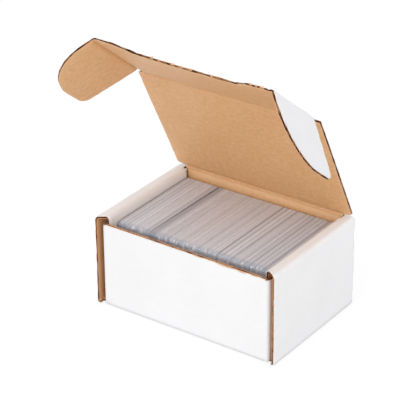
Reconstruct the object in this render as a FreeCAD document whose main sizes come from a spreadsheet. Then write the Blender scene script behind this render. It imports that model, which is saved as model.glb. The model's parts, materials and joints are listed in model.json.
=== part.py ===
import FreeCAD, Part
import os
import Sketcher

# Corrugated card storage box with rolled sides and a hinged lid, filled with card packs.
# Frame: origin at the centre of the base's underside, X to the right, Y to the back, Z up, millimetres.
# The lid, its front flap and the two ears stand half open, as in the photograph.

os.makedirs("parts", exist_ok=True)
doc = FreeCAD.newDocument("CardBox")

# Driving sizes, in millimetres, and angles in degrees
driving_sizes = {
    # overall box
    "outside_width": 160,
    "board": 2.5,
    "fold_inside": 0.5,
    "overrun": 1,
    # rolled sides, front and back walls
    "wall_recess": 1,
    "front_drop": 5.5,
    "roll_setback": 4.5,
    "ear_play": 0.3,
    "base_corner_gap": 2.6,
    # corner flaps inside the rolled sides
    "flap_length": 34,
    "flap_taper": 3,
    "flap_top_drop": 1,
    "flap_floor_gap": 0,
    # lock tabs of the inner walls
    "tab_width": 16,
    "tab_spacing": 48,
    "tab_floor_gap": 0.4,
    "inner_wall_floor_gap": 0.2,
    "slot_play": 0.2,
    # lid and the creases of the moving boards
    "lid_side_inset": 1,
    "crease_strip": 3,
    "swing_gap": 0.3,
    "lid_corner_gap": 0.4,
    "lid_corner_slant": 2,
    "lid_open_angle": 63,
    # front flap of the lid
    "tuck_fold_angle": 24.7,
    "tuck_floor_gap": 1,
    "notch_depth": 10,
    "notch_width": 84,
    "notch_ramp": 14,
    # ears at the ends of the front flap
    "left_ear_fold_angle": 46,
    "right_ear_fold_angle": 51,
    "ear_length": 49.8,
    "ear_round": 42.5,
    "ear_corner": 7.5,
    "ear_strip_gap": 3,
    "ear_floor_gap": 0,
    # cards
    "card_length": 91,
    "card_height": 65,
    "card_corner": 3,
    "card_side_play": 0.8,
    "card_gap": 0.1,
    "card_back_gap": 0.3,
    "finger_room": 9.7,
    "head_room": 6.5,
}

# Where each card pack starts and ends, as shares of the stack from left to right
card_pack_shares = [
    (0.0, 0.105), (0.105, 0.21), (0.225, 0.34), (0.34, 0.46), (0.46, 0.58),
    (0.58, 0.635), (0.635, 0.69), (0.69, 0.73), (0.73, 0.76), (0.76, 0.79),
    (0.79, 0.83), (0.83, 0.87), (0.87, 0.91), (0.91, 0.95), (0.95, 1.0),
]

sheet = doc.addObject("Spreadsheet::Sheet", "Sizes")
for row, (alias, number) in enumerate(driving_sizes.items(), start=1):
    sheet.set(f"A{row}", alias)
    sheet.set(f"B{row}", str(number))
    sheet.setAlias(f"B{row}", alias)
doc.recompute()

# Places worked out from the driving sizes, as expressions on the sheet
board = "Sizes.board"
half_board = "Sizes.board / 2"
side_x = "Sizes.outside_width / 2"
inside_depth = "(Sizes.card_length + Sizes.card_back_gap + Sizes.finger_room)"
raw_y = f"({inside_depth} / 2 + Sizes.board + Sizes.wall_recess)"
side_top_z = "(Sizes.board + Sizes.card_height + Sizes.head_room)"
fold_outside = "(Sizes.fold_inside + Sizes.board)"
side_fold_x = f"({side_x} - {fold_outside})"
pocket_x = f"({side_x} - Sizes.board)"
flap_outer_x = f"({pocket_x} - Sizes.board - 2 * Sizes.ear_play)"
corner_fold_x = f"({flap_outer_x} - {fold_outside})"
inner_wall_outer_x = f"({flap_outer_x} - Sizes.board)"
inner_wall_x = f"({inner_wall_outer_x} - Sizes.board)"
inner_fold_x = f"({inner_wall_x} + {fold_outside})"
wall_y = f"({raw_y} - Sizes.wall_recess)"
wall_fold_y = f"({wall_y} - {fold_outside})"
wall_inside_y = f"({wall_y} - Sizes.board)"
roll_y = f"({raw_y} - Sizes.roll_setback)"
top_fold_z = f"({side_top_z} - {fold_outside})"
front_top_z = f"({side_top_z} - Sizes.front_drop)"
flap_top_z = f"({front_top_z} - Sizes.flap_top_drop)"
flap_bottom_z = f"({fold_outside} + Sizes.flap_floor_gap)"

# Hinge lines of the moving boards: each runs in the middle of the board's thickness
swing_start = "(Sizes.board / 2 + Sizes.swing_gap)"
lid_axis_y = f"({wall_y} - {half_board})"
lid_axis_z = f"({side_top_z} + {swing_start})"
tuck_axis_y = f"(-{raw_y} - {swing_start})"
lid_length = f"({lid_axis_y} - {tuck_axis_y})"
ear_axis_x = f"({pocket_x} - Sizes.ear_play - {half_board})"
tuck_depth = f"({lid_axis_z} - Sizes.tuck_floor_gap)"
ear_start = f"({swing_start} + Sizes.board + Sizes.ear_strip_gap)"
ear_end = f"({lid_axis_z} - {fold_outside} - Sizes.ear_floor_gap)"


def value(expression):
    """Number that an expression on the sheet stands for."""
    return float(sheet.evalExpression(expression))


right = FreeCAD.Vector(1, 0, 0)
back = FreeCAD.Vector(0, 1, 0)
up = FreeCAD.Vector(0, 0, 1)


def point(x_expression, y_expression, z_expression):
    return FreeCAD.Vector(value(x_expression), value(y_expression), value(z_expression))


def lie(origin, along, across):
    """Placement whose local X and Y run along the two given directions."""
    return FreeCAD.Placement(origin, FreeCAD.Rotation(along, across, along.cross(across), "XYZ"))


def lie_on_middle(axis_point, along, across):
    """As lie, for a board whose middle plane holds the given point."""
    return lie(axis_point - along.cross(across) * value(half_board), along, across)


nodes = []


def finish(node, label, placement):
    node.Label = label
    node.Placement = placement
    nodes.append(node)
    return node


def add_loop(sketch, corners):
    """Closed loop of lines whose corners are held by expressions."""
    first = sketch.GeometryCount
    count = len(corners)
    places = [point(x_place, y_place, "0") for x_place, y_place in corners]
    for index in range(count):
        sketch.addGeometry(Part.LineSegment(places[index], places[(index + 1) % count]))
    for index in range(count):
        line = first + index
        following = first + (index + 1) % count
        sketch.addConstraint(Sketcher.Constraint("Coincident", line, 2, following, 1))
        for kind, expression, start in zip(("DistanceX", "DistanceY"), corners[index], places[index]):
            number = sketch.addConstraint(Sketcher.Constraint(kind, -1, 1, line, 1, start))
            sketch.setExpression(f"Constraints[{number}]", expression)


def new_sketch(body, name):
    sketch = body.newObject("Sketcher::SketchObject", name)
    plane = [item for item in body.Origin.OriginFeatures if item.Role == "XY_Plane"][0]
    sketch.AttachmentSupport = [(plane, "")]
    sketch.MapMode = "FlatFace"
    return sketch


def board_piece(label, placement, outline, holes=(), thickness=board):
    """Flat piece of board: an outline with holes, padded by the thickness."""
    body = doc.addObject("PartDesign::Body", label)
    sketch = new_sketch(body, f"{label}_outline")
    for corners in (outline, *holes):
        add_loop(sketch, corners)
    pad = body.newObject("PartDesign::Pad", f"{label}_pad")
    pad.Profile = sketch
    pad.setExpression("Length", thickness)
    sketch.Visibility = False
    doc.recompute()
    return finish(body, label, placement)


def round_corners(body, corners, radius):
    """Fillet of the edges that stand on the given corners of the outline."""
    base = body.Tip
    spots = [point(x_place, y_place, "0") for x_place, y_place in corners]
    names = []
    for number, edge in enumerate(base.Shape.Edges, start=1):
        ends = [FreeCAD.Vector(vertex.Point.x, vertex.Point.y, 0) for vertex in edge.Vertexes]
        stands = len(ends) == 2 and ends[0].isEqual(ends[1], Part.Precision.confusion())
        if stands and any(ends[0].isEqual(spot, Part.Precision.confusion()) for spot in spots):
            names.append(f"Edge{number}")
    fillet = body.newObject("PartDesign::Fillet", f"{body.Name}_round")
    fillet.Base = (base, names)
    fillet.setExpression("Radius", radius)
    doc.recompute()


def rectangle(x_low, x_high, y_low, y_high):
    return [(x_low, y_low), (x_high, y_low), (x_high, y_high), (x_low, y_high)]


def fixed_fold(label, length, origin, along, across):
    """Quarter ring of board: it turns from the first direction to the second about its centre line."""
    outside = doc.addObject("Part::Cylinder", f"{label}_outside")
    outside.Angle = 90
    outside.setExpression("Radius", fold_outside)
    outside.setExpression("Height", length)
    inside = doc.addObject("Part::Cylinder", f"{label}_inside")
    inside.setExpression("Radius", "Sizes.fold_inside")
    inside.setExpression("Height", f"{length} + 2 * Sizes.overrun")
    inside.setExpression("Placement.Base.z", "-Sizes.overrun")
    ring = doc.addObject("Part::Cut", label)
    ring.Base = outside
    ring.Tool = inside
    return finish(ring, label, lie(origin, along, across))


def living_hinge(label, length, origin, along, across):
    """Crease strip with a round end about the hinge line: it points along the first direction."""
    body = doc.addObject("PartDesign::Body", label)
    sketch = new_sketch(body, f"{label}_section")
    radius = value(half_board)
    strip = value("Sizes.crease_strip")
    top_start = FreeCAD.Vector(-strip, radius, 0)
    top_end = FreeCAD.Vector(0, radius, 0)
    low_start = FreeCAD.Vector(-strip, -radius, 0)
    low_end = FreeCAD.Vector(0, -radius, 0)
    circle = Part.Circle(FreeCAD.Vector(0, 0, 0), up, radius)
    quarter_turn = FreeCAD.Units.parseQuantity("90 deg").getValueAs("rad").Value
    arc = sketch.addGeometry(Part.ArcOfCircle(circle, -quarter_turn, quarter_turn))
    top = sketch.addGeometry(Part.LineSegment(top_end, top_start))
    end = sketch.addGeometry(Part.LineSegment(top_start, low_start))
    low = sketch.addGeometry(Part.LineSegment(low_start, low_end))
    sketch.addConstraint(Sketcher.Constraint("Coincident", arc, 3, -1, 1))
    sketch.addConstraint(Sketcher.Constraint("Tangent", arc, 2, top, 1))
    sketch.addConstraint(Sketcher.Constraint("Coincident", top, 2, end, 1))
    sketch.addConstraint(Sketcher.Constraint("Coincident", end, 2, low, 1))
    sketch.addConstraint(Sketcher.Constraint("Tangent", low, 2, arc, 1))
    sketch.addConstraint(Sketcher.Constraint("Horizontal", top))
    sketch.addConstraint(Sketcher.Constraint("Horizontal", low))
    sketch.addConstraint(Sketcher.Constraint("Vertical", end))
    round_size = sketch.addConstraint(Sketcher.Constraint("Radius", arc, radius))
    sketch.setExpression(f"Constraints[{round_size}]", half_board)
    strip_size = sketch.addConstraint(Sketcher.Constraint("DistanceX", top, 2, -1, 1, strip))
    sketch.setExpression(f"Constraints[{strip_size}]", "Sizes.crease_strip")
    pad = body.newObject("PartDesign::Pad", f"{label}_pad")
    pad.Profile = sketch
    pad.setExpression("Length", length)
    sketch.Visibility = False
    doc.recompute()
    return finish(body, label, lie(origin, along, across))


def tab_edges():
    """Low and high place along Y of the lock tabs, front one first."""
    half = "Sizes.tab_width / 2"
    middle = "Sizes.tab_spacing / 2"
    return [(f"-{middle} - {half}", f"-{middle} + {half}"), (f"{middle} - {half}", f"{middle} + {half}")]


# Base, with side strips that reach the raw edges and slots for the lock tabs
strip_x = f"({corner_fold_x} + Sizes.base_corner_gap)"
base_outline = [
    (f"-{side_fold_x}", f"-{raw_y}"), (f"-{strip_x}", f"-{raw_y}"),
    (f"-{strip_x}", f"-{wall_fold_y}"), (strip_x, f"-{wall_fold_y}"),
    (strip_x, f"-{raw_y}"), (side_fold_x, f"-{raw_y}"),
    (side_fold_x, raw_y), (strip_x, raw_y),
    (strip_x, wall_fold_y), (f"-{strip_x}", wall_fold_y),
    (f"-{strip_x}", raw_y), (f"-{side_fold_x}", raw_y),
]
slots = []
for sign in ("-", ""):
    low_x = f"{sign}({inner_wall_x} - Sizes.slot_play)"
    high_x = f"{sign}({inner_wall_outer_x} + Sizes.slot_play)"
    for low_y, high_y in tab_edges():
        slots.append(rectangle(low_x, high_x, f"{low_y} - Sizes.slot_play", f"{high_y} + Sizes.slot_play"))
board_piece("base_panel", lie(FreeCAD.Vector(), right, back), base_outline, slots)

# Front and back walls between the upright corner folds
front_outline = rectangle(f"-{corner_fold_x}", corner_fold_x, fold_outside, front_top_z)
back_top_z = f"({lid_axis_z} - Sizes.crease_strip)"
back_outline = rectangle(f"-{corner_fold_x}", corner_fold_x, fold_outside, back_top_z)
board_piece("front_wall", lie(point("0", f"-{wall_inside_y}", "0"), right, up), front_outline)
board_piece("back_wall", lie(point("0", wall_y, "0"), right, up), back_outline)
wall_width = f"2 * {corner_fold_x}"
front_fold_start = point(f"-{corner_fold_x}", f"-{wall_fold_y}", fold_outside)
back_fold_start = point(corner_fold_x, wall_fold_y, fold_outside)
fixed_fold("front_bottom_fold", wall_width, front_fold_start, -back, -up)
fixed_fold("back_bottom_fold", wall_width, back_fold_start, back, -up)

# Rolled sides: outer wall, top strip, inner wall with lock tabs, and their folds
outer_outline = rectangle(f"-{raw_y}", raw_y, fold_outside, top_fold_z)
wall_bottom_z = "(Sizes.board + Sizes.inner_wall_floor_gap)"
tab_bottom_z = "Sizes.tab_floor_gap"
inner_outline = [(f"-{roll_y}", top_fold_z), (f"-{roll_y}", wall_bottom_z)]
for low_y, high_y in tab_edges():
    inner_outline += [(low_y, wall_bottom_z), (low_y, tab_bottom_z)]
    inner_outline += [(high_y, tab_bottom_z), (high_y, wall_bottom_z)]
inner_outline += [(roll_y, wall_bottom_z), (roll_y, top_fold_z)]
full_depth = f"2 * {raw_y}"
roll_depth = f"2 * {roll_y}"
strip_depth = f"({roll_y} + {raw_y})"
for side, sign, outward in (("left", "-", -right), ("right", "", right)):
    outer_start = point(f"-{side_x}" if side == "left" else pocket_x, "0", "0")
    board_piece(f"{side}_outer_wall", lie(outer_start, back, up), outer_outline)
    strip_outline = rectangle(f"{sign}{side_fold_x}", f"{sign}{inner_fold_x}", f"-{roll_y}", raw_y)
    strip_start = point("0", "0", f"{side_top_z} - Sizes.board")
    board_piece(f"{side}_top_strip", lie(strip_start, right, back), strip_outline)
    inner_start = point(f"-{inner_wall_outer_x}" if side == "left" else inner_wall_x, "0", "0")
    board_piece(f"{side}_inner_wall", lie(inner_start, back, up), inner_outline)
    # A fold's centre line runs along the third direction, so its start depends on the side
    turn = outward.cross(up).y
    starts = (raw_y, f"-{roll_y}", roll_y) if turn > 0 else (f"-{raw_y}", raw_y, f"-{roll_y}")
    low_y, strip_start_y, inner_y = starts
    low_start = point(f"{sign}{side_fold_x}", low_y, fold_outside)
    fixed_fold(f"{side}_bottom_fold", full_depth, low_start, outward, -up)
    outer_top = point(f"{sign}{side_fold_x}", strip_start_y, top_fold_z)
    fixed_fold(f"{side}_outer_top_fold", strip_depth, outer_top, outward, up)
    inner_top = point(f"{sign}{inner_fold_x}", inner_y, top_fold_z)
    fixed_fold(f"{side}_inner_top_fold", roll_depth, inner_top, -outward, up)

# Corner flaps: each turns back from the front or back wall into a rolled side
flap_height = f"({flap_top_z} - {flap_bottom_z})"
for end, end_sign, inward in (("front", "-", back), ("back", "", -back)):
    for side, sign, outward in (("left", "-", -right), ("right", "", right)):
        label = f"{end}_{side}"
        flap_end = "Sizes.flap_length"
        flap_outline = [
            ("Sizes.overrun", flap_bottom_z),
            (flap_end, f"{flap_bottom_z} + Sizes.flap_taper"),
            (flap_end, f"{flap_top_z} - Sizes.flap_taper"),
            ("Sizes.overrun", flap_top_z),
        ]
        flap_middle_x = f"{sign}({flap_outer_x} - {half_board})"
        flap_start = point(flap_middle_x, f"{end_sign}{wall_fold_y}", "0") - inward * value("Sizes.overrun")
        board_piece(f"{label}_corner_flap", lie_on_middle(flap_start, inward, up), flap_outline)
        turns_up = outward.cross(-inward).z > 0
        along, across = (outward, -inward) if turns_up else (-inward, outward)
        fold_start = point(f"{sign}{corner_fold_x}", f"{end_sign}{wall_fold_y}", flap_bottom_z)
        fixed_fold(f"{label}_fold", flap_height, fold_start, along, across)

# Directions of the moving boards in the photographed pose
lid_turn = FreeCAD.Rotation(right, -value("Sizes.lid_open_angle"))
tuck_turn = FreeCAD.Rotation(right, value("Sizes.tuck_fold_angle") - value("Sizes.lid_open_angle"))
lid_forward = lid_turn.multVec(-back)
tuck_forward = tuck_turn.multVec(-back)
tuck_inward = right.cross(tuck_forward)

# Lid: crease on the back wall, panel, and the crease that carries the front flap
lid_axis = point("0", lid_axis_y, lid_axis_z)
hinge_start = lid_axis + right * value(corner_fold_x)
living_hinge("lid_crease", wall_width, hinge_start, up, back)
lid_half = f"({side_x} - Sizes.lid_side_inset)"
lid_end = f"({lid_length} - Sizes.crease_strip)"
tuck_half = f"({ear_axis_x} - Sizes.crease_strip)"
back_tab_x = f"({corner_fold_x} + Sizes.lid_corner_gap)"
front_tab_x = f"({tuck_half} + Sizes.lid_corner_gap)"
front_tab_end = f"({lid_length} - Sizes.swing_gap)"
lid_outline = [
    (f"-{lid_half}", "Sizes.lid_corner_slant"), (f"-{back_tab_x}", "0"), (f"-{back_tab_x}", swing_start),
    (back_tab_x, swing_start), (back_tab_x, "0"), (lid_half, "Sizes.lid_corner_slant"),
    (lid_half, front_tab_end), (front_tab_x, front_tab_end), (front_tab_x, lid_end),
    (f"-{front_tab_x}", lid_end), (f"-{front_tab_x}", front_tab_end), (f"-{lid_half}", front_tab_end),
]
lid_place = lie_on_middle(lid_axis, right, lid_forward)
board_piece("lid_panel", lid_place, lid_outline)
tuck_axis = lid_axis + lid_forward * value(lid_length)
tuck_hinge_start = tuck_axis - right * value(tuck_half)
living_hinge("tuck_crease", f"2 * {tuck_half}", tuck_hinge_start, lid_forward, right.cross(lid_forward))

# Front flap, with a shallow notch in its free edge
notch_half = "Sizes.notch_width / 2"
notch_y = f"({tuck_depth} - Sizes.notch_depth)"
tuck_outline = [
    (f"-{tuck_half}", swing_start), (tuck_half, swing_start), (tuck_half, tuck_depth),
    (f"{notch_half} + Sizes.notch_ramp", tuck_depth), (notch_half, notch_y),
    (f"-{notch_half}", notch_y), (f"-{notch_half} - Sizes.notch_ramp", tuck_depth),
    (f"-{tuck_half}", tuck_depth),
]
board_piece("tuck_flap", lie_on_middle(tuck_axis, right, tuck_forward), tuck_outline)

# Ears: straight upper edge, rounded tip, and a crease on the front flap
ear_width = f"({ear_end} - {ear_start})"
ear_round = f"min(Sizes.ear_round; Sizes.ear_length - {swing_start} - Sizes.overrun)"
ear_outline = rectangle(swing_start, "Sizes.ear_length", ear_start, ear_end)
for side, sign, outward in (("left", "-", -right), ("right", "", right)):
    ear_axis = tuck_axis + outward * value(ear_axis_x)
    ear_hinge_start = ear_axis + tuck_forward * value(ear_start)
    living_hinge(f"{side}_ear_crease", ear_width, ear_hinge_start, outward, tuck_forward.cross(outward))
    ear_swing = FreeCAD.Rotation(outward.cross(tuck_inward), value(f"Sizes.{side}_ear_fold_angle"))
    ear_outward = ear_swing.multVec(outward)
    ear_place = lie_on_middle(ear_axis, ear_outward, tuck_forward)
    ear = board_piece(f"{side}_ear", ear_place, ear_outline)
    round_corners(ear, [("Sizes.ear_length", ear_end)], ear_round)
    round_corners(ear, [("Sizes.ear_length", ear_start)], "Sizes.ear_corner")

# Card packs, standing against the back wall
stack_low_x = f"(-{inner_wall_x} + Sizes.card_side_play)"
stack_width = f"(2 * ({inner_wall_x} - Sizes.card_side_play))"
card_back_y = f"({wall_inside_y} - Sizes.card_back_gap)"
card_front_y = f"({card_back_y} - Sizes.card_length)"
card_top_z = "(Sizes.board + Sizes.card_height)"
card_outline = rectangle(card_front_y, card_back_y, board, card_top_z)
for number, (start_share, end_share) in enumerate(card_pack_shares, start=1):
    pack_start = point(f"{stack_low_x} + {start_share} * {stack_width}", "0", "0")
    pack_thickness = f"{end_share - start_share} * {stack_width} - Sizes.card_gap"
    pack_place = lie(pack_start, back, up)
    pack = board_piece(f"card_pack_{number:02d}", pack_place, card_outline, (), pack_thickness)
    round_corners(pack, card_outline, "Sizes.card_corner")

doc.recompute()

# Every sub-part is checked before its file is written
for node in nodes:
    faults = [state for state in node.State if state in ("Invalid", "Error")]
    if faults or node.Shape.isNull() or not node.Shape.isValid():
        raise RuntimeError(f"{node.Label} did not build: {node.State}")
    if len(node.Shape.Solids) != 1:
        raise RuntimeError(f"{node.Label} has {len(node.Shape.Solids)} solids")
    node.Shape.exportStep(f"parts/{node.Label}.step")

print(len(nodes), "sub-parts written")
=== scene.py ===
import bmesh
import bpy
import json
import math
import numpy as np
from mathutils import Matrix, Vector


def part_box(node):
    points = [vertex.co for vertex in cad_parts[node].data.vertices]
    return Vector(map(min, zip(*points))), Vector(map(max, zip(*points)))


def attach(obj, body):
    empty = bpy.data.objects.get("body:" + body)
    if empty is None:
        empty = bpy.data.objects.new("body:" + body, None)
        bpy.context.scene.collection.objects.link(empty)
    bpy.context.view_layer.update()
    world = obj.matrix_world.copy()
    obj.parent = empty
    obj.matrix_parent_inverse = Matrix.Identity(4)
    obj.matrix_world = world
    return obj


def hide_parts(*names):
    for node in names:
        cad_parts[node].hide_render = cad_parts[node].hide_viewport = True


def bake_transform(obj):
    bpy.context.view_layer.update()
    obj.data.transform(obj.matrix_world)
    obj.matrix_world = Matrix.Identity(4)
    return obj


# Corrugated card storage box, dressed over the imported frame.
# Every board is built as what it is: two paper liners with a fluted medium between them.
# A board's flat place is (f, c): f runs along the flutes, c across them; h is height towards the white side.

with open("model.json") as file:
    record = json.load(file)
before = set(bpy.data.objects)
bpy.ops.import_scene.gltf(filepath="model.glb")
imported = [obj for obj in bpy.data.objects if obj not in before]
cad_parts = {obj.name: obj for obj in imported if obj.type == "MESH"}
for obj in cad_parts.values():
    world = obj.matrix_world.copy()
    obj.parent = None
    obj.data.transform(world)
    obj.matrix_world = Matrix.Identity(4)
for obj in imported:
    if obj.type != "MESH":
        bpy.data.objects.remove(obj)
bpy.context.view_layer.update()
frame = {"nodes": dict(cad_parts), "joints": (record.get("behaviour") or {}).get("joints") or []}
joints = {joint["name"]: joint for joint in frame["joints"]}

mm = 0.001
full_turn = 2 * math.pi
quarter_turn = math.pi / 2
right = Vector((1, 0, 0))
back = Vector((0, 1, 0))
up = Vector((0, 0, 1))

# Sizes of the board, read from the frame
base_low, base_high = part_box("base_panel")
board = base_high.z - base_low.z
half_board = board / 2
fold_low, fold_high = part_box("front_bottom_fold")
fold_outside = fold_high.z - fold_low.z
fold_middle = fold_outside - half_board
fold_run = fold_middle * math.pi / 2

# Paper of the board
flute_pitch = 6.4 * mm
liner = 0.34 * mm
medium = 0.24 * mm

# How fine the meshes are
liner_step = 3.5 * mm
medium_step = 4 * mm
lines_per_flute = 12
edge_lines = (0.5 * mm, 1.2 * mm, 2.4 * mm)
line_digits = 6
same_place = 1e-6
cut_tolerance = 1e-7
sharp_angle = math.radians(38)

# Wear and painted shade: pressed and worn edges, painted shade where the folds meet the floor and in creases
# and corners, and boards that aren't quite flat
crush_reach = 1.1 * mm
crush_share = 0.26
crush_limit = 0.62
crush_wave = 10 * mm
worn_width = 0.9 * mm
contact_shade_width = 1.7 * mm
score_width = 0.8 * mm
bow_wave = 90 * mm
bow_hold = 18 * mm
raw_rim_dark = 0.6

# Torn fibres: where they start and end about the edge, how they curl, and their paper
flake_root = 0.9 * mm
flake_tip = 0.5 * mm
flake_high = 0.9 * half_board
flake_low = 0.3 * half_board
flake_curl = 1.3
flake_paper = 0.2 * mm
flake_step_f = 0.6 * mm
flake_step_c = 0.2 * mm


def new_material(name):
    material = bpy.data.materials.new(name)
    material.use_nodes = True
    nodes = material.node_tree.nodes
    nodes.clear()
    shader = nodes.new("ShaderNodeBsdfPrincipled")
    output = nodes.new("ShaderNodeOutputMaterial")
    material.node_tree.links.new(shader.outputs["BSDF"], output.inputs["Surface"])
    return material, shader


class Graph:
    """Short names for the nodes that the materials share."""

    def __init__(self, material):
        self.tree = material.node_tree

    def node(self, kind, **settings):
        made = self.tree.nodes.new(kind)
        for key, setting in settings.items():
            setattr(made, key, setting)
        return made

    def feed(self, socket, source):
        if isinstance(source, bpy.types.NodeSocket):
            self.tree.links.new(source, socket)
        else:
            socket.default_value = source

    def math(self, operation, *sources):
        made = self.node("ShaderNodeMath", operation=operation)
        for socket, source in zip(made.inputs, sources):
            self.feed(socket, source)
        return made.outputs[0]

    def times(self, source, amount):
        return self.math("MULTIPLY", source, amount)

    def range(self, source, low, high, low_out=0.0, high_out=1.0):
        made = self.node("ShaderNodeMapRange")
        for socket, item in zip(made.inputs, (source, low, high, low_out, high_out)):
            self.feed(socket, item)
        return made.outputs[0]

    def noise(self, vector, scale, detail=3.0, roughness=0.55, stretch=None):
        if stretch is not None:
            mapping = self.node("ShaderNodeMapping")
            self.feed(mapping.inputs["Vector"], vector)
            mapping.inputs["Scale"].default_value = stretch
            vector = mapping.outputs[0]
        made = self.node("ShaderNodeTexNoise")
        self.feed(made.inputs["Vector"], vector)
        made.inputs["Scale"].default_value = scale
        made.inputs["Detail"].default_value = detail
        made.inputs["Roughness"].default_value = roughness
        return made.outputs["Fac"]

    def mix(self, share, first, second):
        made = self.node("ShaderNodeMix", data_type="RGBA")
        colours = [socket for socket in made.inputs if socket.type == "RGBA"]
        self.feed(made.inputs[0], share)
        self.feed(colours[0], first)
        self.feed(colours[1], second)
        return [socket for socket in made.outputs if socket.type == "RGBA"][0]

    def attribute(self, name):
        return self.node("ShaderNodeAttribute", attribute_name=name).outputs["Fac"]

    def place(self):
        return self.node("ShaderNodeUVMap", uv_map="sheet").outputs[0]

    def spot(self):
        return self.node("ShaderNodeTexCoord").outputs["Object"]

    def flutes(self):
        """Height of the flutes under a liner, from -1 to 1."""
        split = self.node("ShaderNodeSeparateXYZ")
        self.feed(split.inputs[0], self.place())
        turn = self.times(split.outputs[1], full_turn / flute_pitch)
        return self.times(self.math("COSINE", turn), -1.0)

    def bump(self, shader, height, distance):
        made = self.node("ShaderNodeBump")
        made.inputs["Strength"].default_value = 1.0
        made.inputs["Distance"].default_value = distance
        self.feed(made.inputs["Height"], height)
        self.feed(shader.inputs["Normal"], made.outputs[0])


def colour(red, green, blue):
    """Linear colour of an sRGB triple given in 255ths."""
    channels = [channel / 255 for channel in (red, green, blue)]
    return [*[c / 12.92 if c <= 0.04045 else ((c + 0.055) / 1.055) ** 2.4 for c in channels], 1.0]


# White liner: coated paper with faint flutes, soft mottling, rubbed edges, bare spots, and painted shade
# where the bottom folds meet the floor
white, shader = new_material("white_liner")
graph = Graph(white)
cloud = graph.noise(graph.spot(), scale=28.0, detail=4.0)
grain = graph.noise(graph.place(), scale=900.0, roughness=0.6, stretch=(0.5, 1.0, 1.0))
tint = graph.mix(graph.range(cloud, 0.3, 0.7), colour(245, 245, 247), colour(241, 241, 243))
tint = graph.mix(graph.range(grain, 0.35, 0.75, 0.0, 0.3), tint, colour(231, 230, 230))
scuff = graph.range(graph.noise(graph.spot(), scale=260.0, detail=4.0, roughness=0.7), 0.42, 0.68)
rubbed = graph.times(graph.times(graph.attribute("edge"), scuff), 0.55)
tint = graph.mix(rubbed, tint, colour(206, 182, 160))
# Painted shade: grey along the line where the bottom folds meet the floor
tint = graph.mix(graph.times(graph.attribute("contact_shade"), 0.95), tint, colour(168, 168, 171))
# Bare spots; along the back wall's top the same mark is the band that paints a highlight on its kraft side
tint = graph.mix(graph.attribute("bare_and_highlight"), tint, colour(212, 168, 130))
graph.feed(shader.inputs["Base Color"], tint)
graph.feed(shader.inputs["Roughness"], graph.range(cloud, 0.3, 0.7, 0.48, 0.62))
height = graph.math("ADD", graph.times(graph.flutes(), 0.35), graph.times(grain, 0.5))
graph.bump(shader, height, 0.06 * mm)

# Kraft liner: brown paper with fine fibres, specks, faint flutes, paler worn spots, a painted highlight
# along the back wall's top, and dark pressed creases with painted shade in them and in corners and pockets
kraft, shader = new_material("kraft_liner")
graph = Graph(kraft)
cloud = graph.noise(graph.spot(), scale=60.0, detail=5.0, roughness=0.6)
mottle = graph.noise(graph.place(), scale=330.0, roughness=0.6, stretch=(0.75, 1.1, 1.0))
fibre = graph.noise(graph.place(), scale=900.0, detail=4.0, roughness=0.65, stretch=(0.7, 1.1, 1.0))
speck = graph.noise(graph.place(), scale=1900.0, detail=2.0, roughness=0.5, stretch=(0.7, 1.0, 1.0))
tint = graph.mix(graph.range(cloud, 0.3, 0.7), colour(229, 177, 125), colour(234, 187, 137))
tint = graph.mix(graph.range(mottle, 0.36, 0.64, 0.0, 0.55), tint, colour(208, 154, 102))
tint = graph.mix(graph.range(fibre, 0.35, 0.72, 0.0, 0.45), tint, colour(203, 150, 99))
tint = graph.mix(graph.times(graph.range(speck, 0.64, 0.74), 0.4), tint, colour(160, 112, 74))
tint = graph.mix(graph.range(graph.flutes(), -1.0, 1.0, 0.0, 0.04), tint, colour(190, 142, 98))
tint = graph.mix(graph.times(graph.attribute("edge"), 0.3), tint, colour(236, 204, 170))
# Paler kraft: worn spots, and along the back wall's top a painted highlight
tint = graph.mix(graph.attribute("bare_and_highlight"), tint, colour(243, 204, 165))
# Darker kraft of the creases and corners: pressed creases, darkened partly as painted shade, and painted
# shade at the wall corners and inside the pockets
tint = graph.mix(graph.times(graph.attribute("crease_and_shade"), 0.25), tint, colour(150, 100, 62))
graph.feed(shader.inputs["Base Color"], tint)
graph.feed(shader.inputs["Roughness"], graph.range(fibre, 0.3, 0.7, 0.42, 0.56))
height = graph.math("ADD", graph.times(graph.flutes(), 0.4), graph.times(fibre, 0.7))
graph.bump(shader, height, 0.05 * mm)

# Raw paper of cut edges and of the fluted medium, in dark and light stretches
raw, shader = new_material("raw_paper")
graph = Graph(raw)
patch = graph.noise(graph.spot(), scale=130.0, roughness=0.6)
# The dark mark browns cut edges: partly their own colour, partly painted shade on the shaded side and in
# hollows
patch = graph.math("SUBTRACT", patch, graph.times(graph.attribute("dark"), 0.14))
fibre = graph.noise(graph.spot(), scale=1400.0, roughness=0.6)
tint = graph.mix(graph.range(patch, 0.38, 0.5), colour(128, 72, 44), colour(213, 160, 113))
tint = graph.mix(graph.range(fibre, 0.4, 0.75, 0.0, 0.4), tint, colour(140, 88, 54))
graph.feed(shader.inputs["Base Color"], tint)
graph.feed(shader.inputs["Roughness"], graph.range(fibre, 0.3, 0.7, 0.75, 0.92))
graph.bump(shader, fibre, 0.08 * mm)
shader.inputs["Specular IOR Level"].default_value = 0.2

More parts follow.
